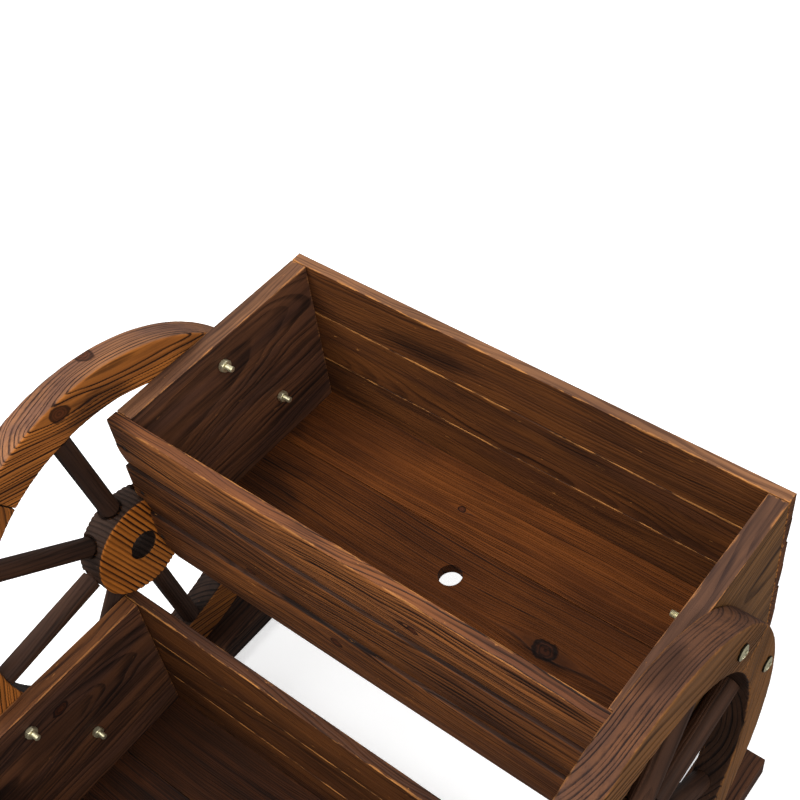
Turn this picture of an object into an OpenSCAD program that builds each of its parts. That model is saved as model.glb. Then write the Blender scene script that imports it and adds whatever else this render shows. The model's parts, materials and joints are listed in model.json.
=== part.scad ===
// Two-tier wooden planter: two open plank boxes, one behind and above the other,
// held between two fixed wagon wheels and steadied by a foot beam under each wheel.
// +X runs along the boxes, +Y to the back and +Z up. The origin is on the ground, mid-way.

/* [Boxes] */
// Length of each box, over its end boards
box_length = 500; // [460:2:540]
// Clear depth inside each box, front to back
box_depth = 220; // [216:1:226]
// Height of one wall plank, three to a wall
plank_height = 61; // [59:0.5:63]
// Thickness of a wall plank over its upper part
plank_thickness = 12; // [11:0.5:13]
// Thickness of a wall plank at its bottom lip
lip_thickness = 8; // [7:0.5:10]
// Height over which a plank's outer face curves in to the lip
curve_height = 34; // [20:1:44]
// Height of the lap between one plank and the next
lap_height = 3; // [2:0.5:4]
// Thickness of an end board
end_thickness = 18; // [17:0.5:20]
// Thickness of a floor board
floor_thickness = 12; // [10:1:14]
// Height of the floor's underside above the box's bottom edge
floor_rise = 4; // [3:1:7]
// Diameter of the drain hole in the middle of each floor
drain_diameter = 22; // [12:1:30]
// Height of the upper box's bottom edge above the ground
upper_rise = 198; // [194:1:202]
// Space between the two boxes, seen from above
box_gap = 38; // [36:1:42]

/* [Wheels] */
// Height of the wheels' centres above the ground
axle_height = 229; // [227:1:230]
// Distance of the wheels' centres behind the middle of the planter
axle_offset = 3; // [0:1:6]
// Outer diameter of a wheel
wheel_diameter = 408; // [404:1:412]
// Radial width of the rim
rim_width = 41; // [38:1:46]
// Thickness of the rim, along the axle
rim_thickness = 28; // [26:1:32]
// Angle of the first spoke above level
first_spoke_angle = 9; // [7:0.5:11]
// Diameter of a spoke
spoke_diameter = 19; // [16:0.5:19]
// Diameter of the tenon on each end of a spoke
tenon_diameter = 14; // [10:0.5:14]
// Diameter of the hub
hub_diameter = 102; // [96:1:102]
// Thickness of the hub, along the axle
hub_thickness = 28.5; // [27.5:0.5:32]
// How far the hub stands in past the rim, into the end of the upper box
hub_inset = 8.5; // [6:0.5:10]
// Diameter of the open hole through the hub
hub_hole_diameter = 28; // [20:1:32]

/* [Foot beams] */
// Width of a foot beam
foot_width = 53; // [48:1:60]
// Height of a foot beam, which is also the height of the flat under each wheel
foot_height = 27; // [26:0.5:28]
// Length of a foot beam, back from the lower box
foot_length = 256; // [220:1:270]

/* [Fasteners] */
// Thread diameter of the rim bolts
bolt_diameter = 6; // [5:0.5:8]
// Diameter of a rim bolt's head
bolt_head_diameter = 14.5; // [12:0.5:16]
// Height of a rim bolt's head
bolt_head_height = 3.5; // [2.5:0.5:4]
// How far a bolt's end stands into the box
bolt_reach = 12; // [8:0.5:16]
// Width of a nut across its flats
nut_width = 10; // [10:0.5:13]
// Thickness of a nut
nut_thickness = 5; // [4:0.5:6.5]
// Length of a nail
nail_length = 30; // [24:1:34]
// Diameter of a nail
nail_diameter = 1.8; // [1.4:0.1:2.2]
// Diameter of a nail's head
nail_head_diameter = 4; // [3:0.5:5]

/* [Hidden] */
$fn = 64;
LEVELS = ["upper", "lower"];
FACES = ["front", "back"];
SIDES = ["left", "right"];
ROWS = [1:3];
FELLOES = [1:4];
SPOKES = [1:8];
FLOOR_BOARDS = [1:3];

row_count = 3;
board_count = 3;
felloe_count = 4;
spoke_count = 8;
box_height = row_count * plank_height;
box_shift = box_gap / 2 + plank_thickness + box_depth / 2;
box_half_length = box_length / 2;

// The rounded-over top edge of a plank and the eased edges of the wheel's pieces
top_ease = 1;
top_ease_height = 4;
edge_ease = 1.5;
// Gap between neighbouring floor boards and felloes
board_gap = 0.6;
// Room around a nail, a bolt, a dowel and a tenon in its hole
nail_room = 0.2;
bolt_room = 0.4;
peg_room = 0.2;
// Small extra length that takes a cut clear past a face
cut_extra = 1;

rim_outer = wheel_diameter / 2;
rim_inner = rim_outer - rim_width;
rim_middle = rim_outer - rim_width / 2;
felloe_angle = 360 / felloe_count;
spoke_step = 360 / spoke_count;
first_joint_angle = first_spoke_angle + spoke_step / 2;
// Height of the spokes' axes above the rim's inner side
spoke_seat = spoke_diameter / 2 + 0.3;
rim_tenon = 14;
hub_tenon = 16;
spoke_gap = 0.3;
hub_relief_room = 0.5;
rim_dowel_diameter = 8;
rim_dowel_length = 40;

// Angle above level and distance from the wheel's centre of the two bolts into each box
UPPER_BOLTS = [[44, 182], [11.5, 188]];
LOWER_BOLTS = [[202, 188], [230, 192]];
RIM_BOLTS = concat(UPPER_BOLTS, LOWER_BOLTS);
recess_length = 7;
recess_width = 1.3;
recess_depth = 2;
bolt_tip = 1;

nail_inset = 11;
// The lowest upper front plank is nailed further in, clear of the hub
cut_plank_nail_inset = 15.5;
nail_head_thickness = 1;
nail_head_depth = 0.4;
// The slanted cuts on the lowest upper front plank: how far in along its bottom edge, how far up its end
corner_cut_length = 23;
corner_cut_height = 56;

foot_screw_diameter = 4.2;
foot_screw_head = 8.4;
foot_screw_head_height = 2.6;
foot_screw_sink = 1;
foot_screw_bite = 21;
// Places of a foot beam's two screws, from the wheel's centre
FOOT_SCREWS = [-7, 11];

// --- Shared geometry ---

function box_y(level) = level == "upper" ? box_shift : -box_shift;
function box_z(level) = level == "upper" ? upper_rise : 0;
function box_bolts(level) = level == "upper" ? UPPER_BOLTS : LOWER_BOLTS;
function row_z(row) = (row_count - row) * plank_height;
function is_cut_plank(level, face, row) = level == "upper" && face == "front" && row == row_count;

// Outline of a wall plank: x from the inner face outwards, y up from the plank's bottom edge
curve_sag = plank_thickness - lip_thickness;
curve_radius = (curve_height * curve_height + curve_sag * curve_sag) / (2 * curve_sag);
curve_steps = 12;
lap_width = plank_thickness / 2;
function curve_point(t) = [
  plank_thickness - curve_radius * (1 - cos(t)),
  curve_height - curve_radius * sin(t)
];
function plank_outline(row) = concat(
  row < row_count ? [[0, lap_height], [lap_width, lap_height], [lap_width, 0]] : [[0, 0]],
  [for (i = [curve_steps:-1:0]) curve_point(asin(curve_height / curve_radius) * i / curve_steps)],
  [[plank_thickness, plank_height - top_ease_height], [plank_thickness - top_ease, plank_height]],
  row > 1
    ? [[lap_width, plank_height], [lap_width, plank_height + lap_height], [0, plank_height + lap_height]]
    : [[0, plank_height]]
);

// A rectangle from the origin with its corners eased
module eased_rectangle(size, ease) {
  polygon([
    [ease, 0], [size[0] - ease, 0], [size[0], ease], [size[0], size[1] - ease],
    [size[0] - ease, size[1]], [ease, size[1]], [0, size[1] - ease], [0, ease]
  ]);
}

// Turns a shape so that its X, Y and Z run along +Y, +Z and +X
module turn_to_length() {
  rotate([90, 0, 90]) children();
}

module at_box(level) {
  translate([0, box_y(level), box_z(level)]) children();
}

// The long walls are alike, and the front one faces the other way
module at_face(face) {
  if (face == "front") mirror([0, 1, 0]) children();
  else children();
}

// Everything on the left is the mirror image of the right
module at_side(side) {
  if (side == "left") mirror([1, 0, 0]) children();
  else children();
}

// A wheel lies in local X and Y, with local Z outwards from the ends of the boxes
module at_wheel(side) {
  at_side(side) translate([box_half_length, axle_offset, axle_height]) turn_to_length() children();
}

// --- Fasteners ---

// A nail driven down local Z, its head's top at the origin
module nail(room = 0) {
  translate([0, 0, -nail_length - room]) cylinder(d = nail_diameter + room, h = nail_length + room);
  translate([0, 0, -nail_head_thickness - room])
    cylinder(d = nail_head_diameter + room, h = nail_head_thickness + room + (room > 0 ? cut_extra : 0));
}

module wall_nails(level, face, row, room = 0) {
  inset = is_cut_plank(level, face, row) ? cut_plank_nail_inset : nail_inset;
  for (side = SIDES) at_side(side) at_box(level) at_face(face)
    translate([
      box_half_length - inset,
      box_depth / 2 + plank_thickness - nail_head_depth,
      row_z(row) + plank_height / 2
    ])
      rotate([-90, 0, 0]) nail(room);
}

function board_y(board) = (board - (board_count + 1) / 2) * box_depth / board_count;

module floor_nail(level, side, board, room = 0) {
  at_side(side) at_box(level)
    translate([box_half_length - nail_head_depth, board_y(board), floor_rise + floor_thickness / 2])
      rotate([0, 90, 0]) nail(room);
}

// A domed rim bolt along local Z, its head seated at the origin
module rim_bolt() {
  body_length = rim_thickness + end_thickness + bolt_reach;
  dome_height = bolt_head_height * 0.6;
  dome_radius = (pow(bolt_head_diameter / 2, 2) + pow(dome_height, 2)) / (2 * dome_height);
  translate([0, 0, bolt_tip - body_length]) cylinder(d = bolt_diameter, h = body_length - bolt_tip);
  translate([0, 0, -body_length])
    cylinder(d1 = bolt_diameter - bolt_tip, d2 = bolt_diameter, h = bolt_tip);
  difference() {
    intersection() {
      cylinder(d = bolt_head_diameter, h = bolt_head_height);
      translate([0, 0, bolt_head_height - dome_radius]) sphere(r = dome_radius);
    }
    for (turn = [0, 90]) rotate(turn)
      translate([-recess_length / 2, -recess_width / 2, bolt_head_height - recess_depth])
        cube([recess_length, recess_width, recess_depth + cut_extra]);
  }
}

module at_rim_bolts(places) {
  for (place = places) rotate(place[0]) translate([place[1], 0, 0]) children();
}

module bolt_hole() {
  translate([0, 0, -end_thickness - cut_extra])
    cylinder(d = bolt_diameter + bolt_room, h = rim_thickness + end_thickness + 2 * cut_extra);
}

// A countersunk screw from the underside of a foot beam up into the rim
module foot_screw(room = 0) {
  translate([0, 0, foot_screw_sink]) {
    cylinder(
      d1 = foot_screw_head + room,
      d2 = foot_screw_diameter + room,
      h = foot_screw_head_height
    );
    cylinder(d = foot_screw_diameter + room, h = foot_height + foot_screw_bite - foot_screw_sink + room);
  }
  if (room > 0) translate([0, 0, -cut_extra])
    cylinder(d = foot_screw_head + room, h = foot_screw_sink + cut_extra);
}

module at_foot_screws(side) {
  at_side(side)
    for (place = FOOT_SCREWS)
      translate([box_half_length + rim_thickness / 2, axle_offset + place, 0]) children();
}

// --- Boxes ---

// Room for the hub where it stands in past the ends of the boxes
module hub_relief(side) {
  at_wheel(side) translate([0, 0, -hub_inset - hub_relief_room])
    cylinder(d = hub_diameter + 2 * hub_relief_room, h = hub_inset + hub_relief_room + cut_extra);
}

// The slanted cut that clears the hub at the bottom corner of the lowest upper front plank
module corner_cut(side) {
  at_side(side) at_box("upper") at_face("front")
    translate([box_half_length, box_depth / 2 + plank_thickness + cut_extra, 0]) rotate([90, 0, 0])
      linear_extrude(height = plank_thickness + 2 * cut_extra)
        polygon([[-corner_cut_length, 0], [0, corner_cut_height], [10, corner_cut_height], [10, -10],
          [-corner_cut_length, -10]]);
}

module long_plank(level, face, row) {
  color("sienna") difference() {
    at_box(level) at_face(face) translate([0, box_depth / 2, row_z(row)])
      turn_to_length() linear_extrude(height = box_length, center = true)
        polygon(plank_outline(row));
    wall_nails(level, face, row, nail_room);
    if (level == "upper" && face == "front") for (side = SIDES) hub_relief(side);
    if (is_cut_plank(level, face, row)) for (side = SIDES) corner_cut(side);
  }
}

module end_board(level, side) {
  color("peru") difference() {
    at_side(side) at_box(level)
      translate([box_half_length - end_thickness, -box_depth / 2, 0])
        cube([end_thickness, box_depth, box_height]);
    for (face = FACES) for (row = ROWS) wall_nails(level, face, row, nail_room);
    for (board = FLOOR_BOARDS) floor_nail(level, side, board, nail_room);
    at_wheel(side) at_rim_bolts(box_bolts(level)) bolt_hole();
    if (level == "upper") hub_relief(side);
  }
}

module floor_board(level, board) {
  floor_length = box_length - 2 * end_thickness;
  board_width = box_depth / board_count - board_gap;
  color("sandybrown") difference() {
    at_box(level) translate([-floor_length / 2, board_y(board) - board_width / 2, floor_rise])
      cube([floor_length, board_width, floor_thickness]);
    for (side = SIDES) floor_nail(level, side, board, nail_room);
    if (board == (board_count + 1) / 2) at_box(level)
      translate([0, 0, floor_rise - cut_extra])
        cylinder(d = drain_diameter, h = floor_thickness + 2 * cut_extra);
  }
}

module box_nails(level) {
  color("dimgray") {
    for (face = FACES) for (row = ROWS) wall_nails(level, face, row);
    for (side = SIDES) for (board = FLOOR_BOARDS) floor_nail(level, side, board);
  }
}

// --- Wheels ---

function felloe_start(index) = first_joint_angle + (index - 1) * felloe_angle;

module rim_dowels(room = 0) {
  for (index = FELLOES) rotate(felloe_start(index))
    translate([rim_middle, 0, rim_thickness / 2]) rotate([90, 0, 0])
      cylinder(d = rim_dowel_diameter + room, h = rim_dowel_length + room, center = true);
}

// The turned pegs on the ends of one spoke, as one rod from inside the hub to inside the rim
module spoke_tenons(index, room = 0) {
  start = hub_diameter / 2 - hub_tenon - room / 2;
  rotate(first_spoke_angle + (index - 1) * spoke_step) translate([start, 0, spoke_seat])
    rotate([0, 90, 0]) cylinder(d = tenon_diameter + room, h = rim_inner + rim_tenon + room / 2 - start);
}

module spoke(side, index) {
  start = hub_diameter / 2 + spoke_gap;
  color("saddlebrown") at_wheel(side) {
    spoke_tenons(index);
    rotate(first_spoke_angle + (index - 1) * spoke_step) translate([start, 0, spoke_seat])
      rotate([0, 90, 0]) cylinder(d = spoke_diameter, h = rim_inner - 2 * spoke_gap - start);
  }
}

module felloe(side, index) {
  half_gap_angle = asin(board_gap / 2 / rim_middle);
  color("chocolate") difference() {
    at_wheel(side) rotate(felloe_start(index) + half_gap_angle)
      rotate_extrude(angle = felloe_angle - 2 * half_gap_angle, $fn = 128)
        translate([rim_inner, 0]) eased_rectangle([rim_width, rim_thickness], edge_ease);
    at_wheel(side) {
      for (k = [2 * index, 2 * index + 1]) spoke_tenons(k, peg_room);
      rim_dowels(peg_room);
      at_rim_bolts(RIM_BOLTS) bolt_hole();
    }
    if (index == 3) {
      translate([-box_length, -rim_outer, 0]) cube([2 * box_length, 2 * rim_outer, foot_height]);
      at_foot_screws(side) foot_screw(peg_room);
    }
  }
}

module hub(side) {
  hub_radius = hub_diameter / 2;
  color("orange") at_wheel(side) difference() {
    rotate_extrude($fn = 128) translate([0, -hub_inset]) polygon([
      [0, 0], [hub_radius - edge_ease, 0], [hub_radius, edge_ease],
      [hub_radius, hub_thickness - edge_ease], [hub_radius - edge_ease, hub_thickness], [0, hub_thickness]
    ]);
    translate([0, 0, -hub_inset - cut_extra])
      cylinder(d = hub_hole_diameter, h = hub_thickness + 2 * cut_extra);
    for (index = SPOKES) spoke_tenons(index, peg_room);
  }
}

// --- Foot beams ---

module foot_beam(side) {
  beam_front = -box_gap / 2;
  color("rosybrown") difference() {
    at_side(side) translate([box_half_length + rim_thickness - foot_width, beam_front + foot_length, 0])
      rotate([90, 0, 0]) linear_extrude(height = foot_length)
        eased_rectangle([foot_width, foot_height], edge_ease);
    at_foot_screws(side) foot_screw(peg_room);
  }
}

// --- Groups of fasteners ---

module rim_bolts() {
  color("gold") for (side = SIDES) at_wheel(side) at_rim_bolts(RIM_BOLTS)
    translate([0, 0, rim_thickness]) rim_bolt();
}

module rim_nuts() {
  color("gold") for (side = SIDES) at_wheel(side) at_rim_bolts(RIM_BOLTS)
    translate([0, 0, -end_thickness - nut_thickness]) difference() {
      cylinder(d = nut_width / cos(30), h = nut_thickness, $fn = 6);
      translate([0, 0, -cut_extra])
        cylinder(d = bolt_diameter + peg_room, h = nut_thickness + 2 * cut_extra);
    }
}

module foot_screws() {
  color("silver") for (side = SIDES) at_foot_screws(side) foot_screw();
}

// --- Nodes ---

for (level = LEVELS) for (face = FACES) for (row = ROWS)
  long_plank(level, face, row);
for (level = LEVELS) for (side = SIDES)
  end_board(level, side);
for (level = LEVELS) for (board = FLOOR_BOARDS)
  floor_board(level, board);
for (side = SIDES) for (index = FELLOES)
  felloe(side, index);
for (side = SIDES) for (index = SPOKES)
  spoke(side, index);
for (side = SIDES)
  hub(side);
for (side = SIDES)
  color("burlywood") at_wheel(side) rim_dowels();
for (side = SIDES)
  foot_beam(side);
for (level = LEVELS)
  box_nails(level);
rim_bolts();
rim_nuts();
foot_screws();
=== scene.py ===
"""Looks of the two-tier wagon wheel planter: scorched fir boards, wheels, plated bolts and nails."""
import json
import math
import random
from functools import partial

import bmesh
import bpy
import numpy as np
from mathutils import Euler, Matrix, Vector, noise


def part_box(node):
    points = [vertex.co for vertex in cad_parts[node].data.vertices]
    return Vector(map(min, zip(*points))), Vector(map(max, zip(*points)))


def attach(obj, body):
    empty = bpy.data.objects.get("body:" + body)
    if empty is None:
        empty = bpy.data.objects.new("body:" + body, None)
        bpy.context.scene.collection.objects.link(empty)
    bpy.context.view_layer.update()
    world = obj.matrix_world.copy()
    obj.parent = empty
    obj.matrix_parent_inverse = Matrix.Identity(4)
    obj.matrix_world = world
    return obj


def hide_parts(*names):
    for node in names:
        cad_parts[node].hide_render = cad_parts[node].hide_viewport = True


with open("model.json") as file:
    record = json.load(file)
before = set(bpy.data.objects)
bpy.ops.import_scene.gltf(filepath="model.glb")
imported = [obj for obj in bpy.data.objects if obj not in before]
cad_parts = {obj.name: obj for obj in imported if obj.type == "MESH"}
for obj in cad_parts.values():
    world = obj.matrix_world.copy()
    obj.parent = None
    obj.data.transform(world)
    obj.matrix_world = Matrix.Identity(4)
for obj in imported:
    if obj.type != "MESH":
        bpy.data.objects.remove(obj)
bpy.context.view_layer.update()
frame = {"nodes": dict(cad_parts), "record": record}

MM = 0.001
BODY = "root"
SIDES = ("left", "right")
LEVELS = ("upper", "lower")

# --- Places read from the frame, and the CAD sizes that scene.py needs ---

hub_low, hub_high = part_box("right_hub")
HUB_CENTRE = (hub_low + hub_high) / 2
HUB_RADIUS = (hub_high.z - hub_low.z) / 2
HUB_HOLE = 14 * MM
SPOKE_AXIS = 259.8 * MM
SOCKET_RADIUS = 10.8 * MM
SOCKET_DEPTH = 2.5 * MM
RIM_OUTER = 204 * MM
RIM_INNER = 163 * MM
FELLOE_GRAIN = 170 * MM    # how far from the axle a rim piece's grain is centred
BOLT_RADIUS = 3 * MM
BOX_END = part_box("upper_right_end")[1].x
FIRST_SPOKE = 9.0    # degrees, as are the next three
SPOKE_STEP = 45.0
FELLOE_STEP = 90.0
FIRST_JOINT = FIRST_SPOKE + SPOKE_STEP / 2


def slot_of(node):
    for entry in frame["record"]["subparts"]:
        if entry["node"] == node:
            return entry["material_slot"]
    raise ValueError(node)


def srgb(red, green, blue):
    """A colour given as it looks on screen, 0 to 255, turned into the linear light Blender works in."""
    def linear(value):
        value /= 255
        return value / 12.92 if value <= 0.04045 else ((value + 0.055) / 1.055) ** 2.4
    return (linear(red), linear(green), linear(blue), 1.0)


# --- Shader building ---

class Graph:
    """Adds nodes to one node tree. A value may be a number, a vector, a colour or another node's output."""

    def __init__(self, tree):
        self.tree = tree

    def put(self, socket, value):
        if isinstance(value, bpy.types.NodeSocket):
            self.tree.links.new(value, socket)
        elif value is not None:
            socket.default_value = value

    def node(self, kind, **settings):
        made = self.tree.nodes.new(kind)
        for name, value in settings.items():
            setattr(made, name, value)
        return made

    def filled(self, made, values):
        """Fills a node's inputs by their names, and gives its outputs."""
        for name, value in values.items():
            self.put(made.inputs[name], value)
        return made.outputs

    def group(self, tree, values):
        return self.filled(self.node("ShaderNodeGroup", node_tree=tree), values)

    def math(self, operation, a, b=None, c=None, clamp=False):
        made = self.node("ShaderNodeMath", operation=operation, use_clamp=clamp)
        for socket, value in zip(made.inputs, (a, b, c)):
            self.put(socket, value)
        return made.outputs[0]

    def times(self, a, b):
        return self.math("MULTIPLY", a, b)

    def minus(self, a, b):
        return self.math("SUBTRACT", a, b)

    def vector(self, operation, a, b=None):
        made = self.node("ShaderNodeVectorMath", operation=operation)
        self.put(made.inputs[0], a)
        self.put(made.inputs[1], b)
        return made.outputs["Value" if operation in ("LENGTH", "DOT_PRODUCT") else "Vector"]

    def split(self, vector):
        made = self.node("ShaderNodeSeparateXYZ")
        self.put(made.inputs[0], vector)
        return made.outputs[0], made.outputs[1], made.outputs[2]

    def join(self, x, y, z):
        made = self.node("ShaderNodeCombineXYZ")
        for socket, value in zip(made.inputs, (x, y, z)):
            self.put(socket, value)
        return made.outputs[0]

    def noise(self, vector, scale, detail, roughness=0.5):
        values = {"Vector": vector, "Scale": scale, "Detail": detail, "Roughness": roughness}
        return self.filled(self.node("ShaderNodeTexNoise"), values)["Fac"]

    def streaks(self, place, along, across, detail, roughness=0.5):
        """Noise with its own fineness along the grain and across it, both per metre."""
        return self.noise(self.vector("MULTIPLY", place, (along, across, across)), 1.0, detail, roughness)

    def ramp(self, value, low, high, to_low=0.0, to_high=1.0):
        made = self.node("ShaderNodeMapRange", interpolation_type="SMOOTHSTEP")
        for socket, item in zip(made.inputs, (value, low, high, to_low, to_high)):
            self.put(socket, item)
        return made.outputs[0]

    def blend(self, factor, a, b):
        made = self.node("ShaderNodeMix", data_type="RGBA")
        self.put(made.inputs[0], factor)
        self.put(made.inputs[6], a)
        self.put(made.inputs[7], b)
        return made.outputs[2]


def empty_material(name):
    """A material with no nodes yet, and the graph to add them with."""
    material = bpy.data.materials.new(name)
    material.use_nodes = True
    material.node_tree.nodes.clear()
    return material, Graph(material.node_tree)


def add_surface(g, colour, roughness, height, strength, distance):
    """Ends a material in a shader with bump. height is its relief, distance what a height of 1 stands for."""
    bump = g.filled(g.node("ShaderNodeBump"), {"Strength": strength, "Distance": distance, "Height": height})
    shader = g.node("ShaderNodeBsdfPrincipled")
    out = g.filled(shader, {"Base Color": colour, "Roughness": roughness, "Normal": bump["Normal"]})
    g.put(g.node("ShaderNodeOutputMaterial").inputs["Surface"], out[0])
    return shader


def new_group(name, inputs, outputs):
    """A node group with the named inputs and outputs, each given as a kind and the names of that kind."""
    tree = bpy.data.node_groups.new(name, "ShaderNodeTree")
    for way, sockets in (("INPUT", inputs), ("OUTPUT", outputs)):
        for kind, names in sockets:
            for item in names:
                tree.interface.new_socket(item, in_out=way, socket_type=kind)
    graph = Graph(tree)
    entry = graph.node("NodeGroupInput")
    end = graph.node("NodeGroupOutput")
    return graph, entry.outputs, end.inputs


FLOAT, VECTOR, COLOUR = "NodeSocketFloat", "NodeSocketVector", "NodeSocketColor"


# --- Grain ---

# Slow waves that the growth rings follow: share of the sway, and turns per metre along, across and deep
SWAY_WAVES = ((1.0, 1.1, 2.0, 2.0), (0.30, 3.4, -5.0, 6.0),
              (0.07, 9.0, 14.0, -12.0), (0.025, 23.0, 34.0, 27.0))
# Slow changes in the rings' spacing: how much, and how often per ring
SPACING_WAVES = ((0.32, 1.1), (0.19, 2.6))
# Places in a ring, from 0 to 1: where it is darkest, where that ends, and where the relief starts to end
LATE_FULL, LATE_END, RELIEF_END = 0.84, 0.92, 0.70
KNOT_REACH = 2.4     # how far a knot bends the rings, in its own radii
KNOT_SOFT = 0.8      # how gently the rings part in front of it
KNOT_LENGTH = 0.5    # a knot's bend reaches further along the grain and into the wood by these shares
KNOT_DEPTH = 0.55
KNOT_HEART = (84, 44, 26)
WEAR_WIDTH = 1.4 * MM


def shift_at(shift, index):
    """A piece's own shift, made different for each wave."""
    return shift * (1.0 + 0.37 * index)


class Grain:
    """How one piece's growth rings lie. The shader and the carved relief both follow it."""

    def __init__(self, centre, turn, pith, ring, sway, seed, knots=(), early=0.36, uneven=1.0):
        dice = random.Random(seed)
        self.centre = Vector(centre)
        self.turn = Euler(turn)
        self.pith = pith
        self.ring = ring
        self.sway = sway
        self.early = early
        self.uneven = uneven
        self.shift = dice.uniform(1.0, 6.0)
        self.seed = [dice.uniform(-9, 9) for _ in range(3)]
        self.knots = [(self.local(place), size) for place, size in knots]

    def local(self, point):
        """A point of the whole object in the piece's own directions, X along its grain."""
        return self.turn.to_matrix().inverted() @ (Vector(point) - self.centre)

    def late(self, points):
        """How much of the dark, late part of a ring each point shows, from 0 to 1."""
        place = (points - np.array(self.centre)) @ np.array(self.turn.to_matrix())
        across, deep = place[:, 1].copy(), place[:, 2].copy()
        for index, (share, *turns) in enumerate(SWAY_WAVES):
            wave = place @ (np.array(turns) * math.tau) + shift_at(self.shift, index)
            across += self.sway * share * np.sin(wave)
            deep += self.sway * share * np.cos(wave)
        for centre, size in self.knots:
            x, y, z = (place - np.array(centre)).T
            far = (KNOT_LENGTH * x) ** 2 + y ** 2 + (KNOT_DEPTH * z) ** 2
            fall = np.exp(-far / (KNOT_REACH * size) ** 2)
            across -= size * fall * y / np.sqrt(y ** 2 + (KNOT_SOFT * size) ** 2)
        count = np.hypot(across - self.pith[0], deep - self.pith[1]) / self.ring
        for index, (share, often) in enumerate(SPACING_WAVES):
            count = count + self.uneven * share * np.sin(count * often + shift_at(self.shift, index + 4))
        part = count % 1.0
        rise = np.clip((part - self.early) / (LATE_FULL - self.early), 0, 1)
        drop = np.clip((part - RELIEF_END) / (1.0 - RELIEF_END), 0, 1)
        return rise ** 2 * (3 - 2 * rise) * (1 - drop ** 2 * (3 - 2 * drop))


def build_knot_group():
    """One knot: bends the rings around it, and gives a mask and rings of its own."""
    g, i, o = new_group(
        "knot", [(VECTOR, ("Place", "Centre")), (FLOAT, ("Radius", "Bend", "Mask", "Rings"))],
        [(FLOAT, ("Bend", "Mask", "Rings"))],
    )
    away = g.vector("SUBTRACT", i["Place"], i["Centre"])
    x, y, z = g.split(away)
    spread = g.times(i["Radius"], KNOT_REACH)
    far = g.vector("LENGTH", g.vector("MULTIPLY", away, (KNOT_LENGTH, 1.0, KNOT_DEPTH)))
    share = g.math("DIVIDE", far, spread)
    fall = g.math("EXPONENT", g.times(g.times(share, share), -1.0))
    soft = g.times(i["Radius"], KNOT_SOFT)
    side = g.math("DIVIDE", y, g.vector("LENGTH", g.join(y, soft, 0.0)))
    push = g.times(g.times(fall, i["Radius"]), side)
    g.put(o["Bend"], g.math("ADD", i["Bend"], push))
    wobble = g.noise(i["Place"], 110.0, 2.0)
    reach = g.vector("LENGTH", g.vector("MULTIPLY", away, (0.75, 1.0, KNOT_DEPTH)))
    reach = g.math("DIVIDE", reach, i["Radius"])
    reach = g.math("MULTIPLY_ADD", g.minus(wobble, 0.5), 0.7, reach)
    inside = g.ramp(reach, 0.90, 1.08, 1.0, 0.0)
    g.put(o["Mask"], g.math("MAXIMUM", i["Mask"], inside))
    wave = g.math("SINE", g.times(reach, 17.0))
    own = g.times(g.ramp(wave, -0.2, 0.9, 0.0, 0.8), inside)
    rim = g.times(g.ramp(reach, 0.55, 0.78), inside)
    g.put(o["Rings"], g.math("MAXIMUM", i["Rings"], g.math("MAXIMUM", own, rim)))
    return g.tree


def build_burn_and_shade_group():
    """A soft dark spot, longer one way than the other. It draws scorched spots, and painted shade on parts
    that lie in shadow.
    """
    g, i, o = new_group(
        "burn", [(VECTOR, ("Place", "Centre", "Size")), (FLOAT, ("Amount", "Before"))], [(FLOAT, ("Burn And Shade",))],
    )
    away = g.vector("DIVIDE", g.vector("SUBTRACT", i["Place"], i["Centre"]), i["Size"])
    wobble = g.streaks(i["Place"], 14.0, 70.0, 4.0, 0.65)
    reach = g.math("MULTIPLY_ADD", g.minus(wobble, 0.5), 1.5, g.vector("LENGTH", away))
    spot = g.times(g.ramp(reach, 0.35, 1.1, 1.0, 0.0), i["Amount"])
    g.put(o["Burn And Shade"], g.math("MAXIMUM", i["Before"], spot))
    return g.tree


def ring_lines(g, i):
    """The rings' late wood, as Grain.late gives it, and each ring's number."""
    _, across, deep = g.split(i["Place"])
    for index, (share, *turns) in enumerate(SWAY_WAVES):
        wave = g.vector("DOT_PRODUCT", i["Place"], [t * math.tau for t in turns])
        wave = g.math("MULTIPLY_ADD", i["Shift"], shift_at(1.0, index), wave)
        reach = g.times(i["Sway"], share)
        across = g.math("MULTIPLY_ADD", g.math("SINE", wave), reach, across)
        deep = g.math("MULTIPLY_ADD", g.math("COSINE", wave), reach, deep)
    across = g.minus(across, i["Bend"])
    radius = g.vector("LENGTH", g.vector("SUBTRACT", g.join(0.0, across, deep), i["Pith"]))
    count = g.math("DIVIDE", radius, i["Ring"])
    for index, (share, often) in enumerate(SPACING_WAVES):
        phase = g.times(i["Shift"], shift_at(1.0, index + 4))
        wave = g.math("SINE", g.math("MULTIPLY_ADD", count, often, phase))
        count = g.math("MULTIPLY_ADD", wave, g.times(i["Uneven"], share), count)
    part = g.math("FRACT", count)
    late = g.times(g.ramp(part, i["Early"], LATE_FULL), g.ramp(part, LATE_END, 1.0, 1.0, 0.0))
    return late, g.math("FLOOR", count)


def ring_strength(g, place, whole):
    """Some rings are fainter than others, and each is fainter in places."""
    strength = g.noise(g.join(g.times(whole, 1.37), 3.0, 0.0), 1.0, 0.0)
    patch = g.streaks(place, 5.0, 26.0, 3.0)
    return g.times(g.ramp(strength, 0.3, 0.6, 0.5, 1.0), g.ramp(patch, 0.3, 0.6, 0.6, 1.0))


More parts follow.
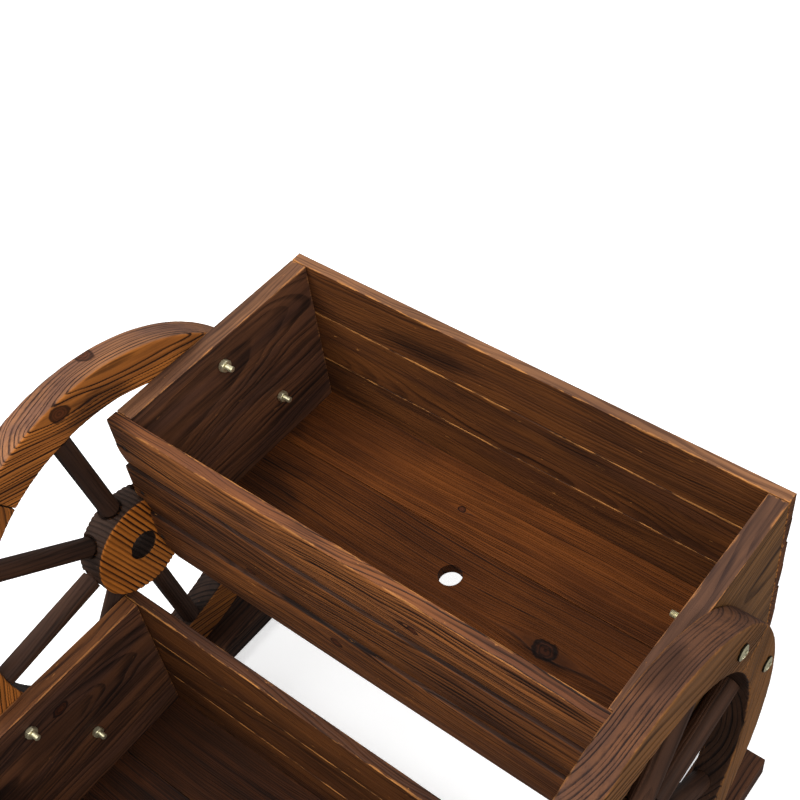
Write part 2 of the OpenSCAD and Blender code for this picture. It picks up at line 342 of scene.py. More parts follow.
def wood_tone(g, i, place, lines):
    """How dark the rings and fibres make each point, and the two kinds of fibre that give relief."""
    fibre = g.streaks(place, 24.0, 950.0, 3.0, 0.6)
    streak = g.streaks(place, 5.0, 150.0, 4.0, 0.6)
    fine = g.streaks(place, 8.0, 430.0, 2.0, 0.55)
    broad = g.streaks(place, 3.0, 34.0, 3.0, 0.5)
    tone = g.times(lines, i["Contrast"])
    for wave, middle, share in ((fibre, 0.5, 0.8), (fine, 0.5, 1.3), (streak, 0.48, 1.5), (broad, 0.5, 0.9)):
        amount = g.times(i["Streaks"], share)
        tone = g.math("MULTIPLY_ADD", g.minus(wave, middle), amount, tone)
    return g.math("MAXIMUM", tone, 0.0, clamp=True), fibre, streak


def scorch_and_shade_share(g, i, place, tone):
    """Charring in clouds and burnt spots, and the painted shade that comes in among those spots; all of it
    takes more on the dark lines.
    """
    cloud = g.streaks(place, 5.0, 18.0, 5.0, 0.62)
    scorch_and_shade = g.times(g.ramp(cloud, 0.42, 0.66), i["Scorch"])
    scorch_and_shade = g.math("MAXIMUM", scorch_and_shade, i["Burn And Shade"])
    return g.math("MULTIPLY", scorch_and_shade, g.math("MULTIPLY_ADD", tone, 0.55, 0.6), clamp=True)


def worn_share(g, i, place):
    """Wood rubbed bare along the edges, and in a few scuffs."""
    rub = g.streaks(place, 34.0, 260.0, 4.0, 0.65)
    worn_to = g.times(g.ramp(rub, 0.38, 0.66, 0.05, 2.0), WEAR_WIDTH)
    worn = g.math("SUBTRACT", 1.0, g.math("DIVIDE", i["Edge"], worn_to), clamp=True)
    scuff = g.streaks(place, 70.0, 330.0, 3.0, 0.6)
    worn = g.math("MAXIMUM", worn, g.ramp(scuff, 0.70, 0.76, 0.0, 0.8))
    return g.times(worn, i["Wear"])


def build_wood_group():
    """Growth rings around an off-centre pith, fibres, knots, scorched patches, painted shade and worn edges.
    """
    g, i, o = new_group(
        "scorched_fir",
        [(VECTOR, ("Place", "Seed", "Pith")),
         (FLOAT, ("Ring", "Shift", "Sway", "Early", "Uneven", "Contrast", "Streaks", "Scorch", "Burn And Shade", "Bend",
                  "Knot", "Knot Rings", "Edge", "Wear")),
         (COLOUR, ("Light", "Dark", "Tint", "Char", "Bare"))],
        [(COLOUR, ("Color",)), (FLOAT, ("Roughness", "Height"))],
    )
    place = g.vector("ADD", i["Place"], i["Seed"])
    late, whole = ring_lines(g, i)
    lines = g.times(late, ring_strength(g, place, whole))
    tone, fibre, streak = wood_tone(g, i, place, lines)
    tinted = g.streaks(place, 6.0, 40.0, 3.0, 0.6)
    light = g.blend(g.ramp(tinted, 0.38, 0.68, 0.0, 0.85), i["Light"], i["Tint"])
    colour = g.blend(tone, light, i["Dark"])
    heart = g.blend(g.times(i["Knot Rings"], 0.95), srgb(*KNOT_HEART), i["Char"])
    colour = g.blend(g.times(i["Knot"], 0.92), colour, heart)
    # Charring and painted shade blend the colour toward the char colour.
    scorch_and_shade = scorch_and_shade_share(g, i, place, tone)
    colour = g.blend(scorch_and_shade, colour, i["Char"])
    bare = g.blend(g.times(tone, 0.5), i["Bare"], i["Light"])
    g.put(o["Color"], g.blend(worn_share(g, i, place), colour, bare))
    rough = g.math("MULTIPLY_ADD", streak, 0.20, 0.42)
    rough = g.math("MULTIPLY_ADD", lines, 0.08, rough)
    g.put(o["Roughness"], g.math("MULTIPLY_ADD", scorch_and_shade, 0.12, rough))
    height = g.math("MULTIPLY_ADD", lines, -0.75, g.times(fibre, 0.45))
    height = g.math("MULTIPLY_ADD", streak, -0.45, height)
    g.put(o["Height"], g.math("MULTIPLY_ADD", i["Knot"], 0.35, height))
    return g.tree


KNOT_GROUP = build_knot_group()
BURN_AND_SHADE_GROUP = build_burn_and_shade_group()
WOOD_GROUP = build_wood_group()

# Each wood's look: colours between and on the growth rings, where tinted, scorched and rubbed bare. Sides that
# the brush and the torch left different have colours of their own: a wheel piece's curved sides (tread), an
# end board's outside (outside) and a board's upper edge (top). On a wall's lower planks the upper edge is the
# narrow step under the plank above, coloured dark. A rim's side towards the hub has darker colours of its own
# too, which are painted shade.
TOP_EDGE = dict(light=(134, 93, 64), dark=(72, 47, 35), tint=(110, 75, 55), char=(56, 38, 30))
FRONT_TOP = dict(light=(122, 74, 43), dark=(44, 28, 21), tint=(93, 57, 41), char=(31, 21, 18))
LOWER_TOP = dict(light=(92, 57, 36), dark=(38, 24, 18), tint=(70, 44, 32), char=(26, 18, 15))
# LEDGE colours the narrow upward step under each plank's lap dark.
LEDGE = dict(light=(64, 39, 25), dark=(25, 16, 13), tint=(46, 30, 24), char=(18, 13, 11))
END_OUTSIDE = dict(light=(120, 82, 46), dark=(56, 37, 25), tint=(94, 64, 38), char=(40, 27, 20))
RIGHT_TOP = dict(light=(112, 77, 55), dark=(58, 40, 32), tint=(92, 64, 50), char=(44, 32, 30))
LOWER_END_TOP = dict(light=(120, 74, 42), dark=(62, 38, 26), tint=(98, 61, 39), char=(40, 26, 20))
# Painted shade: darker colours for a rim's side towards the hub, for the shadow it lies in.
PAINTED_BORE_SHADE = dict(light=(60, 39, 27), dark=(24, 16, 13), tint=(44, 30, 23), char=(18, 13, 11))
WOODS = {
    "plank_wood": dict(light=(120, 71, 35), dark=(33, 19, 14), tint=(82, 50, 33), char=(21, 14, 12),
                       bare=(205, 138, 72), ring=0.0030, contrast=0.95, streaks=1.0, scorch=0.6, wear=0.85),
    "end_wood": dict(light=(108, 69, 46), dark=(38, 26, 20), tint=(84, 57, 46), char=(26, 19, 18),
                     bare=(196, 130, 72), ring=0.0046, contrast=0.7, streaks=0.95, scorch=0.8, wear=0.7,
                     outside=END_OUTSIDE),
    "floor_wood": dict(light=(112, 61, 25), dark=(42, 22, 12), tint=(86, 45, 19), char=(18, 12, 10),
                       bare=(150, 90, 44), ring=0.0016, contrast=0.85, streaks=0.75, scorch=0.5, wear=0.12),
    "rim_wood": dict(light=(180, 109, 48), dark=(48, 27, 16), tint=(150, 89, 42), char=(42, 25, 17),
                     bare=(178, 116, 62), ring=0.0032, contrast=1.1, streaks=0.7, scorch=0.35, wear=0.35,
                     tread=dict(light=(148, 100, 66), dark=(56, 37, 30), tint=(106, 74, 60)), shaded_bore=PAINTED_BORE_SHADE),
    "spoke_wood": dict(light=(72, 48, 35), dark=(30, 21, 17), tint=(54, 39, 33), char=(22, 16, 14),
                       bare=(110, 76, 54), ring=0.0034, contrast=0.5, streaks=0.9, scorch=0.6, wear=0.2),
    "hub_wood": dict(light=(184, 108, 40), dark=(46, 23, 12), tint=(148, 82, 30), char=(26, 17, 13),
                     bare=(182, 118, 58), ring=0.0045, contrast=1.2, streaks=0.55, scorch=0.25, wear=0.3,
                     tread=dict(light=(60, 43, 34), dark=(38, 27, 22), tint=(48, 36, 30))),
    "peg_wood": dict(light=(205, 165, 115), dark=(165, 120, 76), tint=(190, 148, 100), char=(120, 84, 54),
                     bare=(214, 178, 130), ring=0.003, contrast=0.6, streaks=0.6, scorch=0.1, wear=0.2),
    "foot_wood": dict(light=(82, 51, 34), dark=(34, 22, 18), tint=(62, 40, 30), char=(22, 15, 13),
                      bare=(150, 114, 86), ring=0.0034, contrast=0.85, streaks=0.9, scorch=0.4, wear=0.4),
}
RIGHT_RIM = dict(light=(120, 79, 42), dark=(48, 31, 20), tint=(94, 63, 36),
                 tread=dict(light=(102, 66, 44), dark=(38, 26, 23), tint=(74, 50, 40)))
LOWER_FLOOR = dict(light=(78, 42, 20), dark=(28, 16, 10), tint=(58, 32, 16))
FRONT_WALL = dict(light=(144, 88, 46), dark=(34, 20, 15), tint=(100, 62, 42), contrast=1.1)
BACK_WALL = dict(light=(104, 61, 30), dark=(38, 22, 15), tint=(78, 46, 28), contrast=0.65, streaks=0.75)


def second_smallest(g, a, b, c):
    """On a box's surface the nearest face is at zero, so this is the distance to the nearest edge."""
    return g.math("MAXIMUM", g.math("MINIMUM", a, b), g.math("MINIMUM", g.math("MAXIMUM", a, b), c))


def box_edge(g, position, low, high):
    near = g.vector("MINIMUM", g.vector("SUBTRACT", position, low), g.vector("SUBTRACT", high, position))
    return second_smallest(g, *g.split(near))


def wheel_place(g, position):
    """Where a point lies on a wheel: its own Y and Z around the axle, and its radius."""
    x, y, z = g.split(g.vector("SUBTRACT", position, (0.0, HUB_CENTRE.y, HUB_CENTRE.z)))
    return g.math("ABSOLUTE", x), y, z, g.vector("LENGTH", g.join(0.0, y, z))


def no_edge(g, position):
    """For a piece with no worn edges: every point is far from one."""
    return 1.0


def ring_edge(g, position, inner, outer, span, joints=()):
    """Distance to the nearest edge of a disc or arc around the hub's axis, cut off at the joint angles."""
    size, y, z, reach = wheel_place(g, position)
    radial = g.math("MINIMUM", g.minus(reach, inner), g.minus(outer, reach))
    axial = g.math("MINIMUM", g.minus(size, span[0]), g.minus(span[1], size))
    ends = 1.0
    for angle in joints:
        across = g.vector("DOT_PRODUCT", g.join(0.0, y, z), (0.0, -math.sin(angle), math.cos(angle)))
        ends = g.math("MINIMUM", g.math("ABSOLUTE", across), ends)
    return second_smallest(g, radial, axial, ends)


def curved_side(g):
    """1 on a wheel piece's curved sides, 0 on its flat faces."""
    size, _, _ = g.split(g.vector("ABSOLUTE", g.node("ShaderNodeTexCoord").outputs["Normal"]))
    return g.ramp(size, 0.45, 0.8, 1.0, 0.0)


def shaded_bore_side(g):
    """1 on the curved side a rim turns to its hub, where painted shade darkens it, 0 elsewhere."""
    *_, reach = wheel_place(g, g.node("ShaderNodeTexCoord").outputs["Object"])
    middle = (RIM_INNER + RIM_OUTER) / 2
    return g.times(curved_side(g), g.ramp(reach, middle - 2 * MM, middle, 1.0, 0.0))


def top_side(g):
    """1 on a board's top edge, 0 elsewhere."""
    _, _, up = g.split(g.node("ShaderNodeTexCoord").outputs["Normal"])
    return g.ramp(up, 0.5, 0.85)


def outer_side(g):
    """1 on an end board's outside, 0 elsewhere."""
    size, _, _ = g.split(g.vector("ABSOLUTE", g.node("ShaderNodeTexCoord").outputs["Object"]))
    return g.ramp(size, BOX_END - 1.2 * MM, BOX_END - 0.7 * MM)


def socket_shadow(g, position):
    """Painted shade in the hub's hole and around each spoke's socket, where the gaps lie in shadow. It also
    marks the outer face along the spokes.
    """
    size, y, z, reach = wheel_place(g, position)
    hole = g.ramp(reach, HUB_HOLE, HUB_HOLE + 1.2 * MM, 1.0, 0.0)
    turned = g.minus(g.math("ARCTAN2", z, y), math.radians(FIRST_SPOKE))
    turned = g.math("PINGPONG", turned, math.radians(SPOKE_STEP / 2))
    aside = g.times(reach, g.math("SINE", turned))
    ring = g.vector("LENGTH", g.join(aside, g.minus(size, SPOKE_AXIS), 0.0))
    socket = g.ramp(ring, SOCKET_RADIUS - 0.5 * MM, SOCKET_RADIUS + 1.5 * MM, 1.0, 0.0)
    return g.math("MAXIMUM", hole, socket)


def socket_depth(points):
    """How far the hub's side is sunk around each spoke."""
    y, z = points[:, 1] - HUB_CENTRE.y, points[:, 2] - HUB_CENTRE.z
    step = math.radians(SPOKE_STEP)
    turned = (np.arctan2(z, y) - math.radians(FIRST_SPOKE) + step / 2) % step - step / 2
    ring = np.hypot(np.hypot(y, z) * np.sin(turned), np.abs(points[:, 0]) - SPOKE_AXIS)
    outside = np.hypot(y, z) > HUB_RADIUS - 8 * MM
    return outside * SOCKET_DEPTH * np.clip((SOCKET_RADIUS - ring) / (0.8 * MM) + 0.5, 0, 1)


def add_knots(g, place, grain):
    bend, mask, rings = 0.0, 0.0, 0.0
    for centre, radius in grain.knots:
        bend, mask, rings = g.group(KNOT_GROUP, {"Place": place, "Centre": centre, "Radius": radius,
                                                 "Bend": bend, "Mask": mask, "Rings": rings})
    return bend, mask, rings


def add_burns(g, place, grain, burns):
    amount = 0.0
    for centre, size, strength in burns:
        amount = g.group(BURN_AND_SHADE_GROUP, {"Place": place, "Centre": grain.local(centre), "Size": size,
                                      "Amount": strength, "Before": amount})["Burn And Shade"]
    return amount


SIDE_MASKS = {"tread": curved_side, "shaded_bore": shaded_bore_side, "outside": outer_side, "top": top_side}
WOOD_SHINE = 0.09


def wood_colours(g, look):
    """A look's colours, each changed where the piece has a side with colours of its own."""
    colours = {part: srgb(*look[part]) for part in ("light", "dark", "tint", "char", "bare")}
    for side, mask in SIDE_MASKS.items():
        if side in look:
            there = mask(g)
            for part, colour in look[side].items():
                colours[part] = g.blend(there, colours[part], srgb(*colour))
    return colours


def wood(name, kind, grain, edge, burns=(), soot=None, **changes):
    """A wood material for one piece. edge gives the distance to its nearest edge, and the last argument a mask
    of painted shade that darkens like charring.
    """
    look = dict(WOODS[kind], **changes)
    material, g = empty_material(name)
    position = g.node("ShaderNodeTexCoord").outputs["Object"]
    mapping = g.node("ShaderNodeMapping", vector_type="TEXTURE")
    g.put(mapping.inputs["Vector"], position)
    mapping.inputs["Location"].default_value = grain.centre
    mapping.inputs["Rotation"].default_value = grain.turn
    place = mapping.outputs[0]
    bend, mask, rings = add_knots(g, place, grain)
    burn = add_burns(g, place, grain, burns)
    if soot:
        burn = g.math("MAXIMUM", burn, soot(g, position))
    values = {
        "Place": place, "Seed": grain.seed, "Pith": (0.0, *grain.pith), "Ring": grain.ring,
        "Shift": grain.shift, "Sway": grain.sway, "Early": grain.early, "Uneven": grain.uneven,
        "Burn And Shade": burn, "Bend": bend, "Knot": mask, "Knot Rings": rings, "Edge": edge(g, position),
    }
    for part in ("contrast", "streaks", "scorch", "wear"):
        values[part.title()] = look[part]
    for part, colour in wood_colours(g, look).items():
        values[part.title()] = colour
    shader = add_surface(g, *g.group(WOOD_GROUP, values), 0.6, 0.9 * MM)
    shader.inputs["Specular IOR Level"].default_value = WOOD_SHINE
    return material


# --- Meshes ---

def welded_mesh(node):
    shape = bmesh.new()
    shape.from_mesh(frame["nodes"][node].data)
    bmesh.ops.remove_doubles(shape, verts=shape.verts, dist=0.01 * MM)
    return shape


def cad_mesh(node):
    """A node's mesh, welded, with its flat faces merged back to one face each."""
    shape = welded_mesh(node)
    bmesh.ops.dissolve_limit(shape, angle_limit=math.radians(0.6), verts=shape.verts, edges=shape.edges)
    return shape


SHORTEST_SOFT_EDGE = 7.5 * MM
FLATTEST_SOFT_EDGE = math.radians(40)
FLATTEST_SHARP_EDGE = math.radians(35)


def soften(shape, width):
    """Rounds the long edges, the way sanding and the torch leave them."""
    edges = [e for e in shape.edges
             if e.calc_length() > SHORTEST_SOFT_EDGE and e.calc_face_angle(0.0) > FLATTEST_SOFT_EDGE]
    bmesh.ops.bevel(shape, geom=edges, offset=width, offset_type="OFFSET", segments=3, profile=0.5,
                    affect="EDGES", clamp_overlap=False)


def slice_along(shape, axis, step):
    """Cuts a mesh across an axis at even steps, so that it can bend and wear between them."""
    spots = [v.co[axis] for v in shape.verts]
    low, high = min(spots), max(spots)
    count = max(1, round((high - low) / step))
    normal = Vector((0, 0, 0))
    normal[axis] = 1
    for k in range(1, count):
        spot = normal * (low + (high - low) * k / count)
        bmesh.ops.bisect_plane(shape, geom=shape.verts[:] + shape.edges[:] + shape.faces[:],
                               plane_co=spot, plane_no=normal, dist=0.001 * MM)


def weather(shape, seed, dent, wave=0.0):
    """Pushes the surface in a little, unevenly, and never out past the CAD shape."""
    shape.normal_update()
    offset = Vector((seed * 3.1, seed * 1.7, seed * 0.9))
    moves = []
    for v in shape.verts:
        fine = noise.noise(v.co * 70 + offset)
        broad = noise.noise(v.co * 14 + offset)
        amount = dent * (0.5 + 0.5 * fine) + wave * (0.5 + 0.5 * broad)
        moves.append((v, v.normal * -amount))
    for v, move in moves:
        v.co += move


def new_object(name, data):
    made = bpy.data.objects.new(name, data)
    bpy.context.scene.collection.objects.link(made)
    return made


def finish_piece(piece, nodes):
    """Makes a piece ride on the body and stand for CAD nodes."""
    for face in piece.data.polygons:
        face.use_smooth = True
    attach(piece, BODY)
    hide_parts(*nodes)
    return piece


def add_piece(name, shape, material, nodes):
    """Turns a finished bmesh into a piece with even shading."""
    mesh = bpy.data.meshes.new(name)
    bmesh.ops.recalc_face_normals(shape, faces=shape.faces)
    for edge in shape.edges:
        edge.smooth = edge.calc_face_angle(0.0) < FLATTEST_SHARP_EDGE
    shape.to_mesh(mesh)
    shape.free()
    mesh.materials.append(material)
    piece = new_object(name, mesh)
    smooth = piece.modifiers.new("even_shading", "WEIGHTED_NORMAL")
    smooth.keep_sharp = True
    smooth.weight = 60
    return finish_piece(piece, nodes)


def solids(node):
    """The low and high corners of each separate solid in a node's mesh."""
    shape = welded_mesh(node)
    waiting, boxes = set(shape.verts), []
    while waiting:
        group, ahead = set(), [next(iter(waiting))]
        while ahead:
            vertex = ahead.pop()
            if vertex not in group:
                group.add(vertex)
                ahead.extend(e.other_vert(vertex) for e in vertex.link_edges)
        waiting -= group
        spots = [v.co for v in group]
        boxes.append((Vector([min(s[a] for s in spots) for a in range(3)]),
                      Vector([max(s[a] for s in spots) for a in range(3)])))
    shape.free()
    return sorted(boxes, key=lambda box: tuple(box[0]))


NAIL_MARK = 6.5 * MM     # the radius of the dark spot round each nail
NAIL_NEAR = 20 * MM      # a nail this near a plank's middle plane goes into that plank
NAILS = {level: solids(f"{level}_nails") for level in LEVELS}


def centre_of(node):
    low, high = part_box(node)
    return (low + high) / 2


def axle_span(node):
    """How far from the middle of the object a wheel's piece starts and ends, along the axle."""
    low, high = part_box(node)
    return sorted((abs(low.x), abs(high.x)))


# --- Boards ---

def nail_marks(node, low, high):
    """A dark spot in a plank around each nail that goes into it."""
    if "plank" not in node:
        return ()
    marks = []
    for nail_low, nail_high in NAILS[node.split("_")[0]]:
        middle = (nail_low + nail_high) / 2
        beside = abs(middle.y - (low.y + high.y) / 2)
        if low.x < middle.x < high.x and low.z < middle.z < high.z and beside < NAIL_NEAR:
            outside = high.y if node.split("_")[1] == "back" else low.y
            marks.append(((middle.x, outside, middle.z), (NAIL_MARK, NAIL_MARK, NAIL_MARK), 0.95))
    return tuple(marks)


# Knots, as a place and a radius
KNOTS = {
    "upper_front_plank_1": [((0.07, 0.019, 0.345), 0.004)],
    "upper_front_plank_2": [((-0.116, 0.019, 0.268), 0.005)],
    "upper_front_plank_3": [((-0.024, 0.019, 0.243), 0.005)],
    "lower_front_plank_2": [((0.12, -0.263, 0.09), 0.007)],
    "upper_back_plank_2": [((0.16, 0.263, 0.30), 0.006)],
    "lower_back_plank_2": [((0.17, -0.03, 0.10), 0.006)],
    "lower_left_end": [((-0.232, -0.139, 0.149), 0.007)],
    "upper_right_end": [((0.24, 0.18, 0.30), 0.008)],
    "upper_floor_board_3": [((-0.0355, 0.205, 0.214), 0.0035)],
    "upper_floor_board_2": [((0.1117, 0.1256, 0.214), 0.0095)],
    "lower_floor_board_1": [((-0.12, -0.20, 0.016), 0.008)],
    "left_felloe_1": [((-0.25, -0.0158, 0.4206), 0.0080), ((-0.2755, 0.0349, 0.4305), 0.0064)],
}
# Scorched spots, and spots of painted shade, as a place, a size along the grain, across it and into the wood,
# and a strength
BURNS_AND_SHADE = {
    "upper_front_plank_1": [((-0.115, 0.019, 0.352), (0.035, 0.008, 0.1), 0.9),
                            ((0.19, 0.019, 0.372), (0.05, 0.006, 0.1), 0.8)],
    "upper_front_plank_2": [((-0.18, 0.019, 0.30), (0.05, 0.010, 0.1), 0.6)],
    "upper_back_plank_1": [((-0.11, 0.251, 0.345), (0.075, 0.018, 0.1), 0.85)],
    "lower_left_end": [((-0.232, -0.15, 0.125), (0.08, 0.025, 0.1), 0.95),
                       ((-0.232, -0.24, 0.10), (0.06, 0.06, 0.1), 0.9)],
    "upper_left_end": [((-0.232, 0.09, 0.335), (0.05, 0.008, 0.1), 0.8),
                       ((-0.232, 0.20, 0.24), (0.09, 0.04, 0.1), 0.7)],
    "upper_floor_board_1": [((-0.17, 0.08, 0.214), (0.12, 0.035, 0.1), 0.85),
                            ((0.05, 0.042, 0.214), (0.26, 0.016, 0.1), 0.8)],
    "upper_floor_board_2": [((-0.215, 0.125, 0.214), (0.075, 0.045, 0.1), 0.9),
                            ((0.112, 0.126, 0.214), (0.05, 0.018, 0.1), 0.9)],
    "upper_floor_board_3": [((-0.245, 0.20, 0.214), (0.03, 0.05, 0.1), 0.8)],
    # The lower floor's three spots are broad: they darken most of each board.
    "lower_floor_board_1": [((0.0, -0.21, 0.016), (0.5, 0.1, 0.1), 0.75)],
    "lower_floor_board_2": [((0.0, -0.14, 0.016), (0.5, 0.1, 0.1), 0.8)],
    "lower_floor_board_3": [((-0.15, -0.07, 0.016), (0.3, 0.1, 0.1), 0.75)],
    # Painted shade: the foot beam's spot darkens it where it lies in the shadow under the boxes.
    "left_foot_beam": [((-0.264, 0.10, 0.027), (0.16, 0.10, 0.1), 0.85)],
    "left_felloe_1": [((-0.25, 0.020, 0.398), (0.045, 0.028, 0.015), 1.0),
                      ((-0.25, 0.13, 0.375), (0.045, 0.030, 0.006), 0.6)],
    "right_felloe_1": [((0.255, 0.054, 0.427), (0.03, 0.014, 0.03), 0.8)],
    # Painted shade: these two spots darken the left wheel's lower rim where it lies in the shadow under the
    # boxes.
    "left_felloe_3": [((-0.264, 0.03, 0.05), (0.2, 0.2, 0.1), 0.7)],
    "left_felloe_4": [((-0.264, 0.10, 0.08), (0.2, 0.2, 0.1), 0.7)],
}


def board_piece(node, turn, pith, seed, soft=1.1 * MM, dent=0.25 * MM, step=0.016, grain_axis=0,
                sway=0.006, **look):
    """A board with worn edges and an uneven surface. dent is how deep the unevenness goes."""
    low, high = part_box(node)
    burns = (*BURNS_AND_SHADE.get(node, ()), *nail_marks(node, low, high))
    shape = cad_mesh(node)
    soften(shape, soft)
    slice_along(shape, grain_axis, step)
    weather(shape, seed, dent, dent)
    kind = slot_of(node)
    grain = Grain(centre_of(node), turn, pith, WOODS[kind]["ring"], sway, seed, KNOTS.get(node, ()))
    material = wood(node + "_wood", kind, grain,
                    lambda g, position: box_edge(g, position, tuple(low), tuple(high)), burns, **look)
    return add_piece(node + "_piece", shape, material, [node])


ALONG_X = (0.0, 0.0, 0.0)
ALONG_X_FACING_Y = (math.radians(90), 0.0, 0.0)
ALONG_Y_FACING_X = (math.radians(90), 0.0, math.radians(90))
ALONG_Y = (0.0, 0.0, math.radians(90))


def make_planks():
    plank_tops = {("upper", "back"): TOP_EDGE, ("upper", "front"): FRONT_TOP,
                  ("lower", "back"): LOWER_TOP, ("lower", "front"): LOWER_TOP}
    dice = random.Random(11)
    for level in LEVELS:
        for face in ("front", "back"):
            for row in (1, 2, 3):
                node = f"{level}_{face}_plank_{row}"
                pith = (dice.uniform(0.03, 0.09) * dice.choice((-1, 1)),
                        dice.uniform(0.03, 0.06) * dice.choice((-1, 1)))
                look = dict(BACK_WALL if face == "back" else FRONT_WALL if row == 1 else {})
                look["top"] = LEDGE if row > 1 else plank_tops[level, face]
                board_piece(node, ALONG_X_FACING_Y, pith, dice.randrange(1000), sway=0.008, **look)


def make_ends():
    dice = random.Random(23)
    for level in LEVELS:
        for side in SIDES:
            node = f"{level}_{side}_end"
            pith = (dice.uniform(-0.06, 0.06), dice.uniform(0.03, 0.05) * dice.choice((-1, 1)))
            top = LOWER_END_TOP if level == "lower" else RIGHT_TOP if side == "right" else TOP_EDGE
            board_piece(node, ALONG_Y_FACING_X, pith, dice.randrange(1000), grain_axis=1, sway=0.010, top=top)


def make_floors():
    dice = random.Random(37)
    for level in LEVELS:
        for board in (1, 2, 3):
            node = f"{level}_floor_board_{board}"
            pith = (dice.uniform(0.10, 0.14) * dice.choice((-1, 1)), dice.uniform(-0.05, -0.03))
            look = LOWER_FLOOR if level == "lower" else {}
            board_piece(node, ALONG_X, pith, dice.randrange(1000), soft=0.4 * MM, sway=0.004, **look)


# --- Wheels ---

def wheel_direction(angle):
    return Vector((0, math.cos(angle), math.sin(angle)))


def grain_turn(angle):
    """Turns local X to the wheel's tangent direction at an angle, and local Z along the axle."""
    along = wheel_direction(angle + math.pi / 2)
    out = Vector((1, 0, 0))
    across = out.cross(along)
    return Matrix((along, across, out)).transposed().to_euler()


def fine_mesh(node, voxel):
    """A node's shape as an even, fine mesh that can carry relief."""
    worker = new_object("worker", frame["nodes"][node].data.copy())
    remesh = worker.modifiers.new("even", "REMESH")
    remesh.mode = "VOXEL"
    remesh.voxel_size = voxel
    ready = worker.evaluated_get(bpy.context.evaluated_depsgraph_get())
    mesh = bpy.data.meshes.new_from_object(ready)
    old = worker.data
    bpy.data.objects.remove(worker)
    bpy.data.meshes.remove(old)
    mesh.materials.clear()
    return mesh


SIDE_DEPTH = 0.35    # how deep the relief is on a wheel piece's curved sides, next to its faces


def carve(mesh, grain, depth, dent, sink=None):
    """Sinks the dark rings into the surface, and dents it a little, never out past the CAD shape."""
    count = len(mesh.vertices)
    points, normals = np.empty(count * 3), np.empty(count * 3)
    mesh.vertices.foreach_get("co", points)
    mesh.vertices.foreach_get("normal", normals)
    points, normals = points.reshape(-1, 3), normals.reshape(-1, 3)
    broad = np.sin(points @ (170.0, 130.0, 90.0) + grain.shift) * np.sin(points @ (-60.0, 150.0, 190.0))
    flat = SIDE_DEPTH + (1 - SIDE_DEPTH) * np.clip((np.abs(normals[:, 0]) - 0.3) / 0.5, 0, 1)
    inward = depth * flat * grain.late(points) + dent * (0.5 + 0.5 * broad)
    if sink:
        inward += sink(points)
    mesh.vertices.foreach_set("co", (points - normals * inward[:, None]).ravel())
    mesh.update()


def carved_piece(node, kind, grain, edge, depth, dent=0.2 * MM, voxel=1.1 * MM, sink=None, **look):
    """A wheel's piece with its rings carved in. depth is the relief's, and dent the uneven surface's."""
    mesh = fine_mesh(node, voxel)
    carve(mesh, grain, depth, dent, sink)
    piece = new_object(node + "_piece", mesh)
    mesh.materials.append(wood(node + "_wood", kind, grain, edge, **look))
    return finish_piece(piece, [node])


def make_rims():
    dice = random.Random(41)
    for side in SIDES:
        look = RIGHT_RIM if side == "right" else {}
        towards_box = -1 if side == "right" else 1
        for k in (1, 2, 3, 4):
            node = f"{side}_felloe_{k}"
            start = math.radians(FIRST_JOINT + (k - 1) * FELLOE_STEP)
            end = start + math.radians(FELLOE_STEP)
            middle = (start + end) / 2
            centre = wheel_direction(middle) * FELLOE_GRAIN
            centre += Vector((centre_of(node).x, HUB_CENTRE.y, HUB_CENTRE.z))
            pith = (dice.uniform(-0.045, -0.025), dice.uniform(0.036, 0.044) * towards_box)
            turn = grain_turn(middle - math.radians(3))
            grain = Grain(centre, turn, pith, WOODS["rim_wood"]["ring"], 0.004, dice.randrange(1000),
                          KNOTS.get(node, ()), early=0.5, uneven=0.8)
            edge = partial(ring_edge, inner=RIM_INNER, outer=RIM_OUTER, span=axle_span(node),
                           joints=(start, end))
            carved_piece(node, "rim_wood", grain, edge, 0.65 * MM, burns=BURNS_AND_SHADE.get(node, ()), **look)


def make_spokes():
    dice = random.Random(53)
    for side in SIDES:
        for k in range(1, 9):
            node = f"{side}_spoke_{k}"
            angle = math.radians(FIRST_SPOKE + (k - 1) * SPOKE_STEP)
            seed = dice.randrange(1000)
            shape = cad_mesh(node)
            weather(shape, seed, 0.1 * MM, 0.2 * MM)
            grain = Grain(centre_of(node), grain_turn(angle - math.pi / 2), (0.03, 0.02),
                          WOODS["spoke_wood"]["ring"], 0.005, seed)
            material = wood(node + "_wood", "spoke_wood", grain, no_edge)
            add_piece(node + "_piece", shape, material, [node])


def make_hubs():
    for index, side in enumerate(SIDES):
        node = f"{side}_hub"
        grain = Grain(centre_of(node), grain_turn(math.radians(20)), (0.20, 0.03), WOODS["hub_wood"]["ring"],
                      0.002, 60 + index, early=0.42, uneven=0.2)
        edge = partial(ring_edge, inner=HUB_HOLE, outer=HUB_RADIUS, span=axle_span(node))
        carved_piece(node, "hub_wood", grain, edge, 1.2 * MM, voxel=0.9 * MM, sink=socket_depth,
                     soot=socket_shadow)


def make_feet():
    for index, side in enumerate(SIDES):
        node = f"{side}_foot_beam"
        board_piece(node, ALONG_Y, (0.04, -0.04), 71 + index, grain_axis=1)


# --- Metal ---

def metal(name, colour, roughness, spots, plated=1.0):
    """Plated or dull steel with fine scratches and darker spots where the plating has dulled."""
    material, g = empty_material(name)
    position = g.node("ShaderNodeTexCoord").outputs["Object"]
    cloud = g.noise(position, 420.0, 3.0)
    scratch = g.streaks(position, 300.0, 2600.0, 2.0)
    dull = g.times(g.ramp(cloud, 0.42, 0.72), spots)
    shown = g.blend(dull, srgb(*colour), srgb(*[part * 0.45 for part in colour]))
    shader = add_surface(g, shown, g.math("MULTIPLY_ADD", cloud, 0.3, roughness), scratch, 0.2, 0.1 * MM)
    shader.inputs["Metallic"].default_value = plated
    return material


